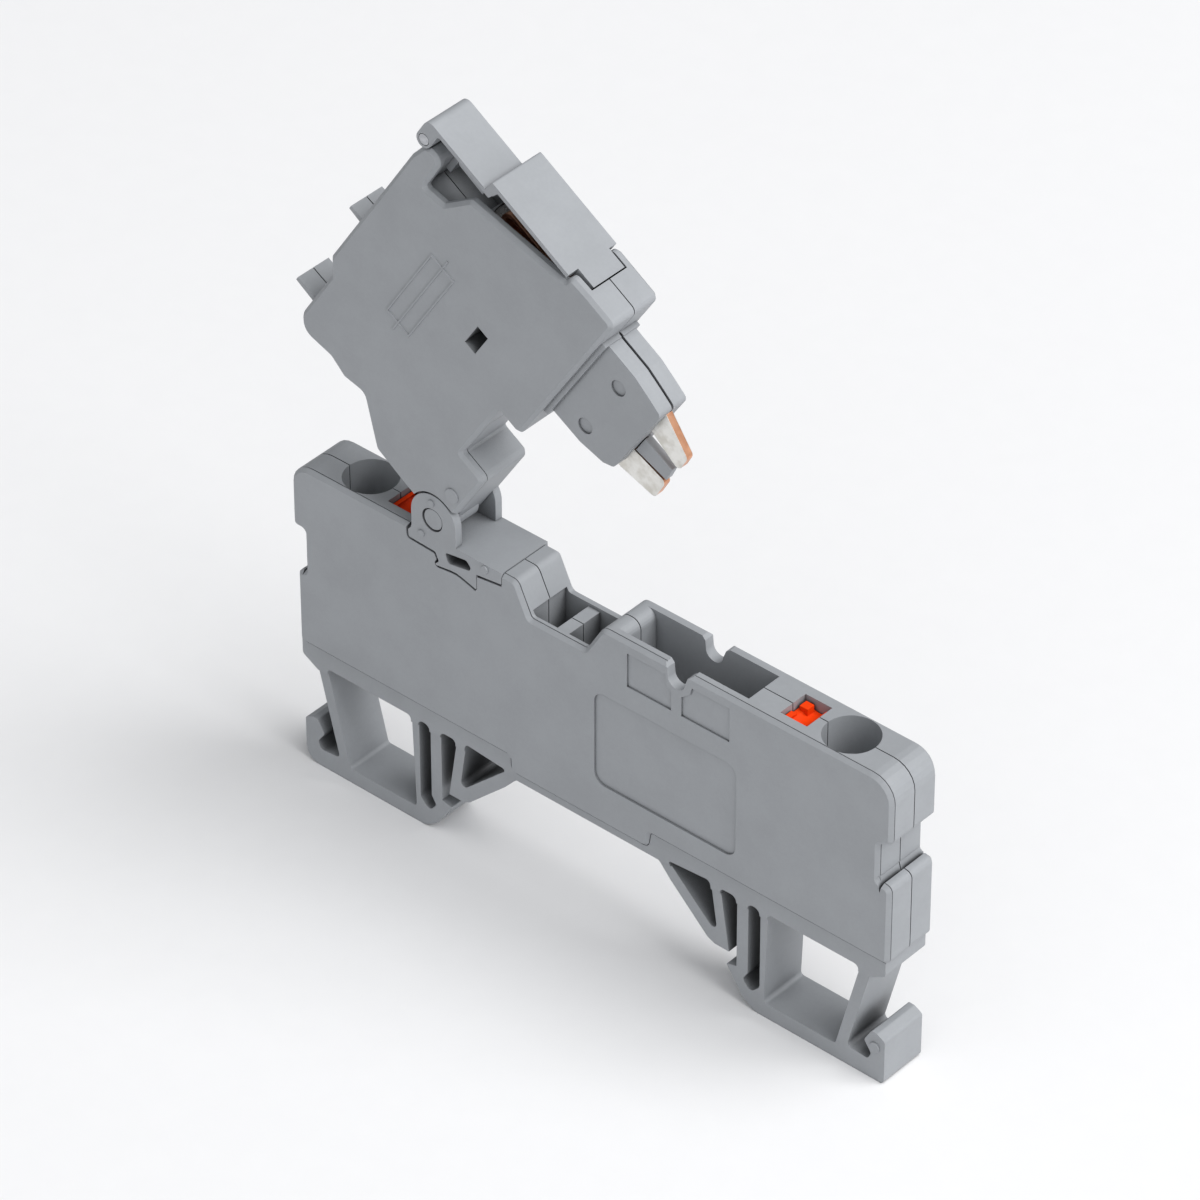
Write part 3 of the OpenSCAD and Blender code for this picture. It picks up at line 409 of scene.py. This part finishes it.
def make_marks():
    """The circuit symbol of a fuse on the lever, and the round marks of the mould's pins."""
    lever = Front("lever_cover", "lever", pivot=(-17.7, 31.4), turn=57)
    bracket = Front("hinge_bracket", "base")
    foot = Front("housing_body", "base")
    left, right, low, high = 14.6, 24.5, 12.4, 15.4
    stub = 1.2
    middle = (low + high) / 2
    case = [(left, low), (right, low), (right, high), (left, high)]
    lever.line("symbol_case", case, height=0.11, closed=True)
    lever.line("symbol_wire", [(left - stub, middle), (right + stub, middle)], height=0.1)
    lever.disc("pin_mark_leg", (4.5, 0.12), 0.75)
    bracket.disc("pin_mark_ear_top", (-17.87, 33.16), 0.36)
    bracket.disc("pin_mark_ear_low", (-19.12, 29.2), 0.36)
    bracket.disc("pin_mark_bracket", (-11.52, 28.94), 0.4)
    foot.disc("pin_mark_foot", (33.72, -1.5), 0.55)


make_marks()


# Studio

PAPER_DARK = (0.84, 0.838, 0.845, 1)
PAPER_LIGHT = (0.86, 0.858, 0.864, 1)
FLOOR_SIDE = 3.0
FLOOR_CELLS = 8
BACKDROP = 0.92
SKY_TINT = (0.97, 0.985, 1.0, 1)
LAMP_AIM = Vector((0, 0, 0.03))


def floor_finish():
    """White paper that shows the block's shadow."""
    finish = Finish("white_paper", Roughness=0.9, Specular_IOR_Level=0.1)
    fibre = finish.noise(3 * MM, detail=4.0)
    finish.set(Base_Color=finish.mix(fibre, PAPER_DARK, PAPER_LIGHT))
    return finish.material


def make_floor(height):
    """A square of paper under the block, as a grid of two parameters."""
    n = FLOOR_CELLS + 1
    side = np.linspace(-FLOOR_SIDE / 2, FLOOR_SIDE / 2, n)
    x, y = np.meshgrid(side, side)
    points = np.stack([x.ravel(), y.ravel(), np.full(x.size, height)], 1)
    corner = (np.arange(n - 1)[:, None] * n + np.arange(n - 1)[None, :]).ravel()
    faces = np.stack([corner, corner + 1, corner + n + 1, corner + n], 1)
    mesh = bpy.data.meshes.new("paper_floor")
    mesh.from_pydata(points.tolist(), [], faces.tolist())
    mesh.materials.append(floor_finish())
    floor = bpy.data.objects.new("paper_floor", mesh)
    bpy.context.scene.collection.objects.link(floor)


def softbox(name, azimuth, elevation, distance, size, watts):
    """A square area light that looks at the block from an azimuth and an elevation."""
    a, e = math.radians(azimuth), math.radians(elevation)
    back = Vector((math.sin(a) * math.cos(e), -math.cos(a) * math.cos(e), math.sin(e)))
    lamp = bpy.data.lights.new(name, "AREA")
    lamp.shape = "SQUARE"
    lamp.size = size
    lamp.energy = watts
    made = bpy.data.objects.new(name, lamp)
    made.rotation_mode = "QUATERNION"
    made.rotation_quaternion = back.to_track_quat("Z", "Y")
    made.location = LAMP_AIM + back * distance
    bpy.context.scene.collection.objects.link(made)


def make_world(dim, bright, towards):
    """A room that grows from dim to bright by the cosine of the angle to its bright side.

    The camera, and what glass lets through, see one pale backdrop instead.
    """
    world = bpy.data.worlds.new("pale_room")
    world.use_nodes = True
    room = Nodes(world.node_tree)
    sight = room.node("ShaderNodeTexCoord", output="Generated")
    cosine = room.node(
        "ShaderNodeVectorMath",
        {"operation": "DOT_PRODUCT"},
        [sight, Vector(towards).normalized()],
        output="Value",
    )
    level = room.node(
        "ShaderNodeMapRange", inputs={"Value": cosine, "To Min": dim, "To Max": bright}
    )
    in_view = room.node("ShaderNodeLightPath", output="Is Camera Ray")
    through_glass = room.node("ShaderNodeLightPath", output="Is Transmission Ray")
    plain = in_view.math("MAXIMUM", through_glass)
    background = room.tree.nodes["Background"]
    room.wire(background.inputs["Color"], SKY_TINT)
    room.wire(background.inputs["Strength"], level + plain * (BACKDROP - level))
    bpy.context.scene.world = world


# Camera at the photograph's viewing angle, in the units of a 1200 pixel frame

PICTURE = 1200
FOCAL = 7213.7
CAMERA_AZIMUTH = math.radians(41.285)
CAMERA_ELEVATION = math.radians(37.889)
CAMERA_ROLL = math.radians(-0.101)
AIM_ROW = 800
AIM_POINT = Vector((1.68, -2.75, 9.4)) * MM
AIM_DEPTH = 644.96 * MM


def make_camera():
    """Stands where the aim point falls on the aim row of the picture's middle column."""
    sa, ca = math.sin(CAMERA_AZIMUTH), math.cos(CAMERA_AZIMUTH)
    se, ce = math.sin(CAMERA_ELEVATION), math.cos(CAMERA_ELEVATION)
    sr, cr = math.sin(CAMERA_ROLL), math.cos(CAMERA_ROLL)
    level_right = Vector((ca, sa, 0))
    level_up = Vector((-sa * se, ca * se, ce))
    back = Vector((sa * ce, -ca * ce, se))
    right = level_right * cr + level_up * sr
    up = level_up * cr - level_right * sr
    below = (AIM_ROW - PICTURE / 2) / FOCAL
    place = AIM_POINT + AIM_DEPTH * (back + up * below)
    lens = bpy.data.cameras.new("photo_camera")
    lens.sensor_width = 36
    lens.lens = FOCAL / PICTURE * lens.sensor_width
    lens.clip_start = 0.01
    camera = bpy.data.objects.new("photo_camera", lens)
    turn = Matrix((right, up, back)).transposed().to_4x4()
    camera.matrix_world = Matrix.Translation(place) @ turn
    bpy.context.scene.collection.objects.link(camera)
    bpy.context.scene.camera = camera


make_floor(cad_box[0][2])
make_world(dim=0.2, bright=0.93, towards=(0.6, -0.55, 0.58))
softbox("window", azimuth=105, elevation=54, distance=1.4, size=1.2, watts=19)
make_camera()
bpy.context.scene.view_settings.view_transform = "Standard"
